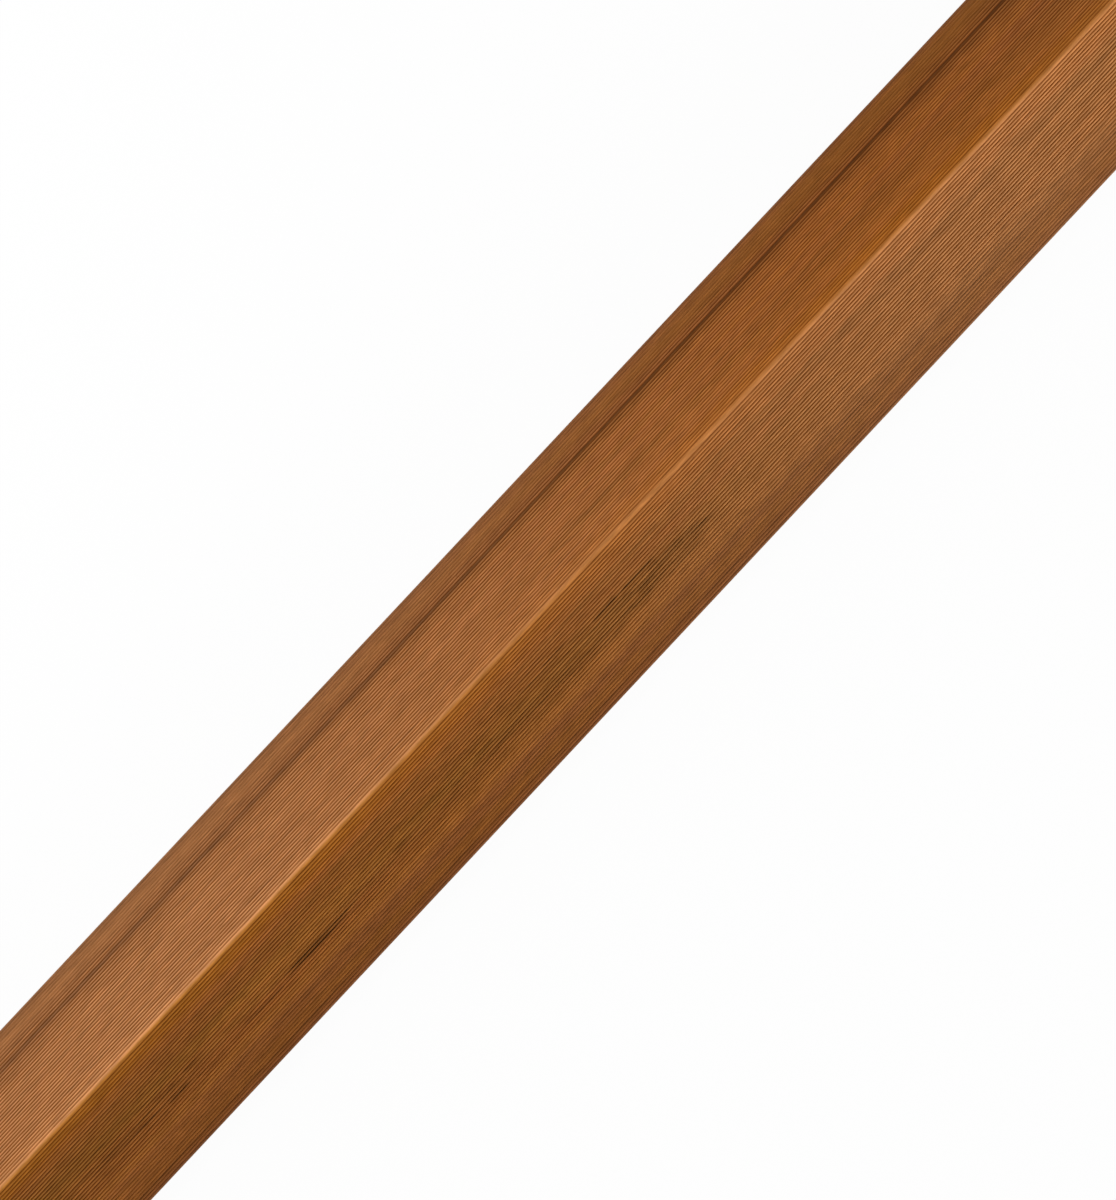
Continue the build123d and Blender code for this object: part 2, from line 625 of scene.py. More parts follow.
@dataclass(frozen=True)
class SkinFinish:
    """The extruded surface: wood tones drawn along the trim, painted shade in the grooves and at the legs'
    edges.

    Beside and on the arris lie painted light and a painted highlight, and a painted sheen comes and goes
    along the trim.

    Args:
        red_brown: one of the two main tones.
        orange_brown: the other.
        olive_brown: a tone that comes in over both.
        arris_orange: the warm tone beside the arris.
        sheen_brown: the colour that the tones turn to in the painted sheen.
        rim_shade_brown: painted shade, the dull dark tone of the rounded rim at a leg's edge.
        groove_shade_keep: painted shade, the share of red, green and blue that is left at the bottom of a
            groove.
        streak_keep: the share of them that is left in the darkest streak.
        dull_keep: the share of them that is left in the strongest dull streak.
        warm: where the first tone turns into the second.
        olive: where the third comes in.
        reed_tone: what makes one reed lighter than the next.
        fibre: fine flecks along the reeds.
        breaks: what breaks up the streaks and lines.
        patches: what breaks up the haze in a flame.
        groove_vary: what makes the grooves' painted shade fainter or darker from place to place.
        pores: the fine roughness of the surface.
        warm_rise: the noise over which the second tone comes in.
        olive_rise: the noise over which the third tone comes in.
        olive_zone: the distance from the arris over which the third tone comes in, from a leg's edge inwards.
        break_rise: the noise over which a streak or a haze comes in.
        olive_more: what is added to the third tone's noise on the -Y leg.
        reed_swing: how much lighter or darker a reed can be.
        fibre_swing: how much lighter or darker a fleck can be.
        groove_swing: how much fainter or darker a groove's painted shade can be.
        sheen_length: the length over which the painted sheen comes and goes.
        sheen_shares: the painted sheen's strength on the -Y and on the +Y leg.
        sheen_change: how far from the arris the two legs' painted sheens meet.
        sheen_groove: how much darker the grooves' painted shade is in the painted sheen.
        shine_low: how much brighter the painted highlight makes the arris out of the sheen, on the -Y and on
            the +Y
        side; less than 0 is darker.
        shine_high: how much brighter it makes it in the sheen, on the same sides.
        shine_place: how far from the arris's crown that is strongest.
        shine_reach: how far it goes to each side.
        side_change: how far from the arris the two legs' values meet.
        glow: painted light, how much brighter the faces are beside the arris.
        glow_reach: how far from the arris that goes.
        orange_place: where the warm tone beside the arris is strongest.
        orange_reach: how far it goes to each side.
        orange_share: how strong it is there.
        edge_zone: the distance from the arris over which the edges' values come in.
        painted_edge_shade: painted shade, how much darker the edge of the -Y and of the +Y leg is.
        edge_sheen: how much of the painted sheen is left there.
        groove_fade: the distance over which the grooves' painted shade fades, on the -Y and on the +Y leg.
        edge_groove: how much of it is left then, on the -Y and on the +Y leg.
        arris_zone: the distance over which the grooves get their full painted shade.
        arris_groove: how much of it they have beside the arris, on the -Y and on the +Y leg.
        inside_zone: the distance over which the edges' values go again, on the inside.
        rim_place: the distance from the arris at which the painted shade on the rounded rim is strongest.
        rim_reach: how far that painted shade goes to each side.
        rim_share: how strong that painted shade is there.
        groove_shares: how dark the grooves' painted shade is on the -Y and on the +Y leg.
        groove_spread: the power that widens the grooves' painted shade.
        figure_shares: how much of the streaks and flames shows on a crest and in a groove.
        specular: the specular level.
        crest_roughness: roughness on the crests.
        groove_roughness: roughness in the grooves.
        pore_strength: the strength of the pores' bump.
        pore_depth: the pores' depth.
    """

    red_brown: Colour = (0.455, 0.157, 0.042)
    orange_brown: Colour = (0.475, 0.170, 0.035)
    olive_brown: Colour = (0.390, 0.156, 0.031)
    arris_orange: Colour = (0.490, 0.168, 0.016)
    sheen_brown: Colour = (0.525, 0.238, 0.097)
    rim_shade_brown: Colour = (0.180, 0.115, 0.085)
    groove_shade_keep: Colour = (0.316, 0.17, 0.0)
    streak_keep: Colour = (0.11, 0.12, 0.08)
    dull_keep: Colour = (0.13, 0.15, 0.28)
    warm: Draw = Draw(0.60, 0.009, 1.0)
    olive: Draw = Draw(0.40, 0.012, 7.3)
    reed_tone: Draw = Draw(0.50, 0.0016, 3.1, 1.0)
    fibre: Draw = Draw(0.007, 0.0007, 5.7, 3.0)
    breaks: Draw = Draw(0.016, 0.0010, 11.0)
    patches: Draw = Draw(0.020, 0.0016, 13.0)
    groove_vary: Draw = Draw(0.45, 0.006, 17.0)
    pores: Draw = Draw(0.006, 0.00018, 9.1)
    warm_rise: Rise = Rise(0.35, 0.65)
    olive_rise: Rise = Rise(0.45, 0.70)
    olive_zone: Rise = Rise(0.041, 0.024)
    break_rise: Rise = Rise(0.35, 0.60)
    olive_more: float = 0.12
    reed_swing: float = 0.14
    fibre_swing: float = 0.50
    groove_swing: float = 0.18
    sheen_length: float = 0.70
    sheen_shares: tuple[float, float] = (0.72, 1.0)
    sheen_change: float = 0.0009
    sheen_groove: float = 1.18
    shine_low: tuple[float, float] = (-0.04, -0.10)
    shine_high: tuple[float, float] = (0.08, 0.22)
    shine_place: float = 0.0006
    shine_reach: float = 0.0011
    side_change: float = 0.003
    glow: float = 0.07
    glow_reach: float = 0.014
    orange_place: float = 0.0032
    orange_reach: float = 0.0040
    orange_share: float = 0.6
    edge_zone: Rise = Rise(0.026, 0.050)
    painted_edge_shade: tuple[float, float] = (0.41, 0.42)
    edge_sheen: float = 0.6
    groove_fade: tuple[Rise, Rise] = (Rise(0.029, 0.038), Rise(0.037, 0.046))
    edge_groove: tuple[float, float] = (0.52, 0.20)
    arris_zone: Rise = Rise(0.002, 0.006)
    arris_groove: tuple[float, float] = (0.90, 0.78)
    inside_zone: Rise = Rise(0.075, 0.056)
    rim_place: float = 0.0503
    rim_reach: float = 0.0018
    rim_share: float = 0.5
    groove_shares: tuple[float, float] = (0.90, 0.96)
    groove_spread: float = 0.65
    figure_shares: tuple[float, float] = (0.6, 1.6)
    specular: float = 0.05
    crest_roughness: float = 0.65
    groove_roughness: float = 0.85
    pore_strength: float = 0.25
    pore_depth: float = 0.00005

    def material(self, kit: GroupKit) -> bpy.types.Material:
        """Builds the skin's material.

        Args:
            kit: the node groups.

        Returns:
            The material.
        """
        made, pen, shader = start_material("reeded_skin")
        place = DrawnPlace(pen, kit)
        groove = pen.node("ShaderNodeAttribute", attribute_name=GROOVE_ATTRIBUTE).outputs["Fac"]
        painted_sheen = self.painted_sheen(place)
        broken = pen.ease(place.noise(self.breaks), *self.break_rise)
        colour = pen.scaled(self.tone(place, painted_sheen), self.shade(place, broken))
        # Painted shade in the grooves between the reeds, deeper in the painted sheen.
        colour = pen.darkened(colour, self.painted_groove_shade(place, groove, painted_sheen), self.groove_shade_keep)
        figure = pen.times(self.darkness(place, broken), pen.between(groove, *self.figure_shares))
        colour = pen.darkened(colour, figure, self.streak_keep)
        colour = pen.darkened(colour, place.streaks(DULL_STREAKS, broken), self.dull_keep)
        pores = place.noise(self.pores)
        pen.feed(shader.inputs["Base Color"], colour)
        pen.feed(shader.inputs["Roughness"], pen.between(groove, self.crest_roughness, self.groove_roughness))
        pen.feed(shader.inputs["Specular IOR Level"], self.specular)
        pen.feed(shader.inputs["Normal"], pen.bump(pores, self.pore_strength, self.pore_depth))
        return made

    def tone(self, place: DrawnPlace, painted_sheen: Socket) -> Socket:
        """Mixes the wood tones, the warm tone beside the arris, the painted sheen and the painted shade on
        the rim.

        Args:
            place: the place on the drawn map.
            painted_sheen: how strong the painted sheen is at each place.

        Returns:
            The colour before it is shaded.
        """
        pen = place.pen
        colour = pen.mix(pen.ease(place.noise(self.warm), *self.warm_rise), self.red_brown, self.orange_brown)
        more = place.leg_value(self.side_change, (self.olive_more, 0.0))
        olive = pen.ease(pen.math("ADD", place.noise(self.olive), more), *self.olive_rise)
        inwards = pen.ease(place.distance, *self.olive_zone)
        colour = pen.mix(pen.times(olive, inwards), colour, self.olive_brown)
        beside = pen.bell(pen.math("SUBTRACT", place.distance, self.orange_place), self.orange_reach)
        colour = pen.mix(pen.times(beside, self.orange_share), colour, self.arris_orange)
        # Painted sheen: the tones turn paler where the lamps would be reflected along the trim.
        colour = pen.mix(painted_sheen, colour, self.sheen_brown)
        # Painted shade: a dull dark line on the rounded rim at each leg's edge.
        rim = pen.bell(pen.math("SUBTRACT", place.distance, self.rim_place), self.rim_reach)
        return pen.mix(pen.times(rim, self.rim_share), colour, self.rim_shade_brown)

    def sheen_swing(self, place: DrawnPlace) -> Socket:
        """Goes along the trim as a sine, from 1 where the +Y leg has the painted sheen to -1 where the -Y leg
        has it.
        """
        return place.pen.math("SINE", place.pen.times(place.along, -2 * pi / self.sheen_length))

    def painted_sheen(self, place: DrawnPlace) -> Socket:
        """A painted sheen that comes and goes along the trim, where one leg is pale and the other isn't.

        On the -Y leg it is squared and weaker, so that it stays nearer its pale end.

        Args:
            place: the place on the drawn map.

        Returns:
            How strong the painted sheen is at each place, from 0 to 1.
        """
        pen = place.pen
        side = place.leg_value(self.sheen_change, (-1.0, 1.0))
        share = pen.share(pen.times(self.sheen_swing(place), side))
        minus, plus = self.sheen_shares
        strength = place.leg_value(self.sheen_change, (pen.times(share, minus), plus))
        return pen.times(share, strength, pen.between(self.near_edge(place), 1.0, self.edge_sheen))

    def painted_arris_highlight(self, place: DrawnPlace) -> Socket:
        """Painted highlight on the arris: a bell each side of its crown, brighter by the square of that leg's
        sheen.

        Args:
            place: the place on the drawn map.

        Returns:
            How much brighter each place is.
        """
        pen, swing = place.pen, self.sheen_swing(place)
        lines = []
        for side, low, high in zip((Side.MINUS_Y, Side.PLUS_Y), self.shine_low, self.shine_high):
            share = pen.share(pen.times(swing, side.value))
            off = pen.math("SUBTRACT", place.across, side.value * self.shine_place)
            strength = pen.between(pen.times(share, share), low, high)
            lines.append(pen.times(pen.bell(off, self.shine_reach), strength))
        return pen.math("ADD", *lines)

    def near_edge(self, place: DrawnPlace) -> Socket:
        """How near the edge of its leg each place is, from 0 to 1."""
        pen, distance = place.pen, place.distance
        return pen.times(pen.ease(distance, *self.edge_zone), pen.ease(distance, *self.inside_zone))

    def shade(self, place: DrawnPlace, broken: Socket) -> Socket:
        """What makes a place lighter or darker, apart from the grooves and the dark figures.

        The reeds' tones, the flecks and the pale streaks are the trim's own; beside the arris is painted
        light, on it a painted highlight, and towards the legs' edges painted shade.

        Args:
            place: the place on the drawn map.
            broken: what breaks up the streaks, from 0 to 1.

        Returns:
            The factor for its colour.
        """
        pen, distance = place.pen, place.distance
        painted_edge_shade = place.leg_value(self.side_change, self.painted_edge_shade)
        pale = place.streaks(PALE_STREAKS, broken)
        return pen.times(
            place.swing(self.reed_tone, self.reed_swing),
            place.swing(self.fibre, self.fibre_swing),
            # Painted light: the faces beside the arris are brighter.
            pen.between(pen.ease(distance, 0.0, self.glow_reach), 1.0 + self.glow, 1.0),
            # Painted shade: the faces grow darker towards the legs' edges.
            pen.between(self.near_edge(place), 1.0, pen.math("SUBTRACT", 1.0, painted_edge_shade)),
            pen.math("ADD", pale, 1.0),
            # Painted highlight on the arris, following the painted sheen.
            pen.math("ADD", self.painted_arris_highlight(place), 1.0),
        )

    def painted_groove_shade(self, place: DrawnPlace, groove: Socket, painted_sheen: Socket) -> Socket:
        """How much of the painted shade in the grooves each place has.

        Args:
            place: the place on the drawn map.
            groove: how deep in a groove the place is.
            painted_sheen: how strong the painted sheen is at each place.

        Returns:
            The share, where 1 is the full darkness.
        """
        pen = place.pen
        legs = []
        for share, arris, fade, edge in zip(
                self.groove_shares, self.arris_groove, self.groove_fade, self.edge_groove):
            risen = pen.between(pen.ease(place.distance, *self.arris_zone), arris, 1.0)
            kept = pen.between(pen.ease(place.distance, *fade), 1.0, edge)
            legs.append(pen.times(risen, kept, share))
        wide = pen.math("POWER", groove, self.groove_spread)
        vary = place.swing(self.groove_vary, self.groove_swing)
        more = pen.between(painted_sheen, 1.0, self.sheen_groove)
        return pen.times(wide, vary, more, place.leg_value(self.side_change, tuple(legs)))

    def darkness(self, place: DrawnPlace, broken: Socket) -> Socket:
        """Takes the darkest of the streaks and the flames at each place.

        Args:
            place: the place on the drawn map.
            broken: what breaks up the streaks and the flames' lines, from 0 to 1.

        Returns:
            How dark they make each place, where 1 is the full darkness.
        """
        patchy = place.pen.ease(place.noise(self.patches), *self.break_rise)
        flames = [place.figure(place.kit.flame, flame, broken=broken, patchy=patchy) for flame in FLAMES]
        return place.strongest([place.streaks(DARK_STREAKS, broken), *flames])


@dataclass(frozen=True)
class SawnFinish:
    """A square sawn end: the composite's own rough brown, with flecks of wood, pores and faint saw marks.

    Args:
        body: the composite's own tone.
        fleck: the tone of a fleck of wood.
        pore: the tone of a pore.
        flour: where the flecks and the pores are.
        saw_marks: where the saw marks are.
        fleck_rise: the noise over which a fleck comes in.
        pore_rise: the noise over which a pore comes in.
        mark_swing: how much lighter or darker a saw mark can be.
        specular: the specular level.
        roughness: the roughness.
        relief_strength: the strength of the flecks' and marks' bump.
        relief_depth: their depth.
    """

    body: Colour = (0.30, 0.125, 0.045)
    fleck: Colour = (0.46, 0.25, 0.11)
    pore: Colour = (0.14, 0.055, 0.022)
    flour: Draw = Draw(0.0009, 0.0006, 2.0, 3.0)
    saw_marks: Draw = Draw(0.030, 0.0007, 4.0)
    fleck_rise: Rise = Rise(0.52, 0.68)
    pore_rise: Rise = Rise(0.44, 0.32)
    mark_swing: float = 0.25
    specular: float = 0.05
    roughness: float = 0.75
    relief_strength: float = 0.4
    relief_depth: float = 0.0001

    def material(self, kit: GroupKit) -> bpy.types.Material:
        """Builds the sawn end's material.

        Args:
            kit: the node groups.

        Returns:
            The material.
        """
        made, pen, shader = start_material("sawn_end")
        place = DrawnPlace(pen, kit)
        flour, marks = place.noise(self.flour), place.noise(self.saw_marks)
        colour = pen.mix(pen.ease(flour, *self.fleck_rise), self.body, self.fleck)
        colour = pen.mix(pen.ease(flour, *self.pore_rise), colour, self.pore)
        colour = pen.scaled(colour, pen.between(marks, 1.0 - self.mark_swing, 1.0 + self.mark_swing))
        relief = pen.bump(pen.math("ADD", flour, marks), self.relief_strength, self.relief_depth)
        pen.feed(shader.inputs["Base Color"], colour)
        pen.feed(shader.inputs["Roughness"], self.roughness)
        pen.feed(shader.inputs["Specular IOR Level"], self.specular)
        pen.feed(shader.inputs["Normal"], relief)
        return made


@dataclass(frozen=True)
class Span:
    """One straight or arc of the section's outline.

    Args:
        length: its length.
        run: a straight's start or an arc's centre, along the leg from the sharp outer corner.
        depth: the same point's distance under the leg's outer face.
        turn: the angle by which the outward normal has turned from the outer face's normal, at its start.
        radius: the arc's radius, negative in the hollow corner, or 0 for a straight.
    """

    length: float
    run: float
    depth: float
    turn: float
    radius: float = 0.0


@dataclass(frozen=True)
class SectionPoints:
    """Points round one half of the section, as whole arrays.

    Args:
        run: distance along the leg from the sharp outer corner.
        depth: distance under the leg's outer face.
        turn: the angle by which the outward normal has turned from the outer face's normal.
        groove: how deep in a groove the point is, from 0 on a crest to 1 at the bottom.
    """

    run: np.ndarray
    depth: np.ndarray
    turn: np.ndarray
    groove: np.ndarray

    def inset(self, by: np.ndarray) -> tuple[np.ndarray, np.ndarray]:
        """Run and depth of the points once they have moved inwards by a distance, along their normals."""
        return self.run - by * np.sin(self.turn), self.depth + by * np.cos(self.turn)


@dataclass(frozen=True)
class AngleSection:
    """The trim's section: two equal legs that meet in the arris, at 45 degrees to the floor.

    Args:
        leg: each leg's outer face, from the sharp outer corner to the leg's edge.
        wall: each leg's thickness.
        arris_radius: radius of the outer corner.
        edge_radius: radius of both corners of each leg's edge.
        root_radius: radius of the inner corner.
        reeds: reeds on each face.
        reed_depth: depth of the grooves between the reeds.
        plain_band: smooth band on the outer face, beside the sharp outer corner and beside the leg's edge.
        crest_power: how flat the reeds' crests are; 2 is a parabola.
        reed_steps: points on each reed.
        arc_steps: points on each arc.
    """

    leg: float
    wall: float
    arris_radius: float = 0.0015
    edge_radius: float = 0.0010
    root_radius: float = 0.0020
    reeds: int = 38
    reed_depth: float = 0.00030
    plain_band: float = 0.0016
    crest_power: float = 1.9
    reed_steps: int = 8
    arc_steps: int = 8

    @classmethod
    def from_box(cls, low: Vector, high: Vector) -> "AngleSection":
        """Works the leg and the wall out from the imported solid's box.

        Half the box's width is the leg less two edge radii, over the root of 2, plus one edge radius. Its
        height is the leg plus the wall, over the root of 2, less what rounding cuts off the arris and the
        legs' edges.

        Args:
            low: the box's lowest corner.
            high: the box's highest corner.

        Returns:
            The section that fills the box.
        """
        leg = ((high.y - low.y) / 2 - cls.edge_radius) * sqrt(2) + 2 * cls.edge_radius
        both = (high.z - low.z + CORNER_CUT * (cls.arris_radius + cls.edge_radius)) * sqrt(2)
        return cls(leg=leg, wall=both - leg)

    @property
    def corner_height(self) -> float:
        """The sharp outer corner's height above the floor."""
        return (self.leg + self.wall) / sqrt(2) - self.edge_radius * CORNER_CUT

    @property
    def spans(self) -> tuple[Span, ...]:
        """The outline of one half, from the arris's crown over the leg's outer face to the root's crown."""
        leg, wall = self.leg, self.wall
        arris, edge, root = self.arris_radius, self.edge_radius, self.root_radius
        eighth, quarter = pi / 4, pi / 2
        return (
            Span(arris * eighth, arris, arris, -eighth, arris),
            Span(leg - arris - edge, arris, 0.0, 0.0),
            Span(edge * quarter, leg - edge, edge, 0.0, edge),
            Span(wall - 2 * edge, leg, edge, quarter),
            Span(edge * quarter, leg - edge, wall - edge, quarter, edge),
            Span(leg - edge - wall - root, leg - edge, wall, 2 * quarter),
            Span(root * eighth, wall + root, wall + root, 2 * quarter, -root),
        )

    @property
    def stops(self) -> np.ndarray:
        """Distances round the section from the arris's crown at which the spans meet."""
        return np.concatenate(([0.0], np.cumsum([span.length for span in self.spans])))

    @property
    def edge_middle(self) -> float:
        """Distance round the section from the arris's crown to the middle of the leg's edge."""
        return (self.stops[Stop.EDGE_START] + self.stops[Stop.EDGE_END]) / 2

    @property
    def first_groove(self) -> float:
        """Distance round the section from the arris's crown to the first groove."""
        return self.plain_band - self.arris_radius * (1 - pi / 4)

    @property
    def last_groove(self) -> float:
        """Distance round the section from the arris's crown to the last groove."""
        return self.first_groove + self.leg - 2 * self.plain_band

    def groove_share(self, girth: np.ndarray) -> np.ndarray:
        """How deep in a groove each place on the outer face is.

        With d the distance to the nearest groove and h half a reed, the share is (1 - d / h) to the crest
        power, and nothing beyond h, so that each reed is a flat-topped arch between two sharp grooves.

        Args:
            girth: distances round the section from the arris's crown.

        Returns:
            The share of the reeds' depth, from 0 to 1.
        """
        pitch = (self.last_groove - self.first_groove) / self.reeds
        number = np.clip(np.round((girth - self.first_groove) / pitch), 0, self.reeds)
        off = np.abs(girth - self.first_groove - pitch * number)
        return np.clip(1 - off / (pitch / 2), 0, 1) ** self.crest_power

    def points(self, girth: np.ndarray) -> SectionPoints:
        """Places points round one half of the section.

        A point past the start of a straight goes on along it. On an arc it is the centre plus the radius
        along the normal, which turns evenly. A groove then moves its point inwards by its share of the reeds'
        depth.

        Args:
            girth: distances round the section from the arris's crown.

        Returns:
            The points.
        """
        part = np.clip(np.searchsorted(self.stops, girth, side="right") - 1, 0, len(self.spans) - 1)
        past = girth - self.stops[part]
        values = np.array([(span.run, span.depth, span.turn, span.radius) for span in self.spans])
        run, depth, turn, radius = values[part].T
        straight = radius == 0
        turn = turn + np.divide(past, radius, out=np.zeros_like(past), where=~straight)
        slide = np.where(straight, past, 0.0)
        run = run + radius * np.sin(turn) + slide * np.cos(turn)
        depth = depth - radius * np.cos(turn) + slide * np.sin(turn)
        groove = np.where(girth < self.stops[Stop.EDGE_START], self.groove_share(girth), 0.0)
        plain = SectionPoints(run, depth, turn, groove)
        return SectionPoints(*plain.inset(groove * self.reed_depth), turn, groove)

    def girth_samples(self) -> tuple[np.ndarray, np.ndarray]:
        """Distances round one half of the section, for the outer and the inner line, point for point.

        Each reed is divided evenly into reed_steps parts and each shorter stretch into arc_steps. The flat
        inside has as many parts as make the two lines match.

        Returns:
            Those from the arris's crown to the leg's flat edge, and those from the root's crown to it.
        """
        stops = self.stops
        reed_points = self.reeds * self.reed_steps
        face_stops = (self.first_groove, self.last_groove)
        outer_stops = (stops[Stop.ARRIS_CROWN], *face_stops, stops[Stop.FACE_END], stops[Stop.EDGE_START])
        outer_steps = (self.arc_steps, reed_points, self.arc_steps, self.arc_steps)
        inner_order = (Stop.ROOT_CROWN, Stop.INSIDE_END, Stop.INSIDE_START, Stop.EDGE_END)
        inner_stops = tuple(stops[stop] for stop in inner_order)
        inner_steps = (self.arc_steps, reed_points + self.arc_steps, self.arc_steps)
        return self.subdivided(outer_stops, outer_steps), self.subdivided(inner_stops, inner_steps)

    @staticmethod
    def subdivided(stops: tuple[float, ...], steps: tuple[int, ...]) -> np.ndarray:
        """Divides each stretch between two stops evenly.

        Args:
            stops: where the stretches meet.
            steps: how many parts each stretch has.

        Returns:
            All the places, with the first and the last stop.
        """
        stretches = [
            np.linspace(first, second, count, endpoint=False)
            for first, second, count in zip(stops, stops[1:], steps)
        ]
        return np.concatenate((*stretches, stops[-1:]))


@dataclass(frozen=True)
class BakeLayout:
    """Where the surface lies on the bake map: one strip along the trim, and both ends above it.

    Args:
        margin: the clear edge round the map.
        strip_height: the strip's height.
        outer_share: how much of the strip's height the outer faces take.
        end_low: where the ends begin.
        end_height: their height.
        end_width: the width of each.
    """

    margin: float = 0.01
    strip_height: float = 0.84
    outer_share: float = 0.80
    end_low: float = 0.88
    end_height: float = 0.10
    end_width: float = 0.46


@dataclass
class ReededTrim:
    """The corner trim's visible surface.

    Args:
        section: its cross-section.
        start: where it begins along X.
        end: where it ends along X.
        end_break: how far the saw cut's edges are broken.
        station_gap: about how far apart its cross-sections are.
        sharp_angle: the angle, in degrees, from which an edge stays sharp.
        layout: where the surface lies on the bake map.
    """

    section: AngleSection
    start: float
    end: float
    end_break: float = 0.00015
    station_gap: float = 0.05
    sharp_angle: float = 40.0
    layout: BakeLayout = BakeLayout()

    def ring(self) -> tuple[np.ndarray, np.ndarray]:
        """Goes all the way round the section, from the arris over the +Y leg and back over the -Y leg.

        Returns:
            Each point's distance round its half of the section, and the sign of its Y.
        """
        outer, inner = self.section.girth_samples()
        girth = np.concatenate((outer, inner[::-1], inner[1:], outer[:0:-1]))
        sign = np.where(np.arange(len(girth)) < len(outer) + len(inner), 1.0, -1.0)
        return girth, sign

    def stations(self) -> tuple[np.ndarray, np.ndarray]:
        """Where the cross-sections are, and how far each is drawn in.

        They are evenly spaced from one broken edge to the other. Each saw cut is one more, drawn in by as
        much as its edges are broken.

        Returns:
            Places along X, and the inset of each section.
        """
        count = round((self.end - self.start) / self.station_gap) + 1
        inner = np.linspace(self.start + self.end_break, self.end - self.end_break, count)
        places = np.concatenate(([self.start], inner, [self.end]))
        insets = np.zeros_like(places)
        insets[[0, -1]] = self.end_break
        return places, insets

    def grid(self) -> tuple[np.ndarray, np.ndarray]:
        """Carries the section along X.

        Over the root of 2, a point's Y is its run less its depth, and it lies lower than the sharp corner by
        their sum.

        Returns:
            The points, one row for each cross-section, and how deep in a groove the points of a row are.
        """
        girth, sign = self.ring()
        places, insets = self.stations()
        line = self.section.points(girth)
        run, depth = line.inset(insets[:, None])
        across = sign * (run - depth) / sqrt(2)
        height = self.section.corner_height - (run + depth) / sqrt(2)
        along = np.broadcast_to(places[:, None], across.shape)
        return np.stack((along, across, height), axis=-1), line.groove

    @staticmethod
    def shell_faces(rows: int, ring: int) -> np.ndarray:
        """The faces along the trim.

        A face goes from point n of one cross-section to point n of the next, on to the point after that one,
        and back to the point after the first. After a ring's last point comes its first again.

        Args:
            rows: how many cross-sections there are.
            ring: points in each.

        Returns:
            Four point numbers a face.
        """
        step = np.arange(ring)
        after = np.roll(step, -1)
        row = np.arange(rows - 1)[:, None] * ring
        corners = np.stack((row + step, row + ring + step, row + ring + after, row + after), axis=-1)
        return corners.reshape(-1, FACE_CORNERS)

    @staticmethod
    def end_faces(rows: int, ring: int) -> np.ndarray:
        """The faces of both sawn ends, ruled between the outer and the inner line of each leg.

        Halfway round the ring is the root's crown. Point n of the outer line lies across the wall from the
        point n before that, and point ring - n mirrors it on the other leg.

        Args:
            rows: how many cross-sections there are.
            ring: points in each.

        Returns:
            Four point numbers a face.
        """
        half = ring // 2
        outer = np.arange((half + 1) // 2)
        inner = half - outer
        plus = np.stack((outer[:-1], inner[:-1], inner[1:], outer[1:]), axis=-1)
        minus = (ring - plus[:, ::-1]) % ring
        far = (rows - 1) * ring
        return np.concatenate((plus[:, ::-1], minus[:, ::-1], plus + far, minus + far))

    def build(self) -> bpy.types.Object:
        """Makes the trim's mesh and its object.

        Returns:
            The trim's object.
        """
        points, groove = self.grid()
        rows, ring = points.shape[:2]
        shell = self.shell_faces(rows, ring)
        faces = np.concatenate((shell, self.end_faces(rows, ring)))
        mesh = bpy.data.meshes.new("reeded_trim")
        mesh.from_pydata(points.reshape(-1, 3).tolist(), [], faces.tolist())
        slots = np.full(len(mesh.polygons), Slot.SAWN.value, np.int32)
        slots[:len(shell)] = Slot.SKIN.value
        mesh.polygons.foreach_set("material_index", slots)
        mesh.polygons.foreach_set("use_smooth", np.ones(len(mesh.polygons), bool))
        depth = mesh.attributes.new(GROOVE_ATTRIBUTE, "FLOAT", "POINT")
        depth.data.foreach_set("value", np.tile(groove, rows).astype(np.float32))
        self.map_surface(mesh, points, len(shell))
        mesh.set_sharp_from_angle(angle=radians(self.sharp_angle))
        mesh.update()
        made = bpy.data.objects.new("reeded_trim", mesh)
        bpy.context.scene.collection.objects.link(made)
        return made

    def map_surface(self, mesh: bpy.types.Mesh, points: np.ndarray, shell_count: int) -> None:
        """Gives the trim its two UV maps.

        On the drawn map, U is the place along X and V the distance round the section from the arris, negative
        on the -Y leg, both in metres, and on the ends they are Y and Z. On the bake map the same strip fills
        most of the image, with more room for the outer faces, and the ends lie above it.

        Args:
            mesh: the trim's mesh.
            points: the grid of its points.
            shell_count: how many of its first faces go along the trim.
        """
        girth, _ = self.ring()
        vertex = np.empty(len(mesh.loops), np.int32)
        mesh.loops.foreach_get("vertex_index", vertex)
        face = np.arange(len(mesh.loops)) // FACE_CORNERS
        on_shell = (face < shell_count)[:, None]
        sign = np.where(face % len(girth) < len(girth) // 2, 1.0, -1.0)
        place = points.reshape(-1, 3)[vertex]
        around = girth[vertex % len(girth)]
        drawn = np.where(on_shell, np.stack((place[:, 0], sign * around), -1), place[:, 1:])

        layout = self.layout
        low, high = points.min((0, 1)), points.max((0, 1))
        share = (place - low) / (high - low)
        round_stops = (0.0, self.section.edge_middle, girth.max())
        spread = np.interp(around, round_stops, (0.0, layout.outer_share, 1.0))
        strip = np.stack((share[:, 0], (1 + sign * spread) / 2), -1)
        strip = layout.margin + strip * (1 - 2 * layout.margin, layout.strip_height)
        end_left = np.where(place[:, 0] > 0, 1 - layout.margin - layout.end_width, layout.margin)
        end_across = end_left + share[:, 1] * layout.end_width
        end_up = layout.end_low + share[:, 2] * layout.end_height
        end = np.stack((end_across, end_up), -1)
        bake = np.where(on_shell, strip, end)
        for name, values in ((PatternMap.DRAWN, drawn), (PatternMap.BAKE, bake)):
            layer = mesh.uv_layers.new(name=name.value)
            layer.uv.foreach_set("vector", values.astype(np.float32).ravel())

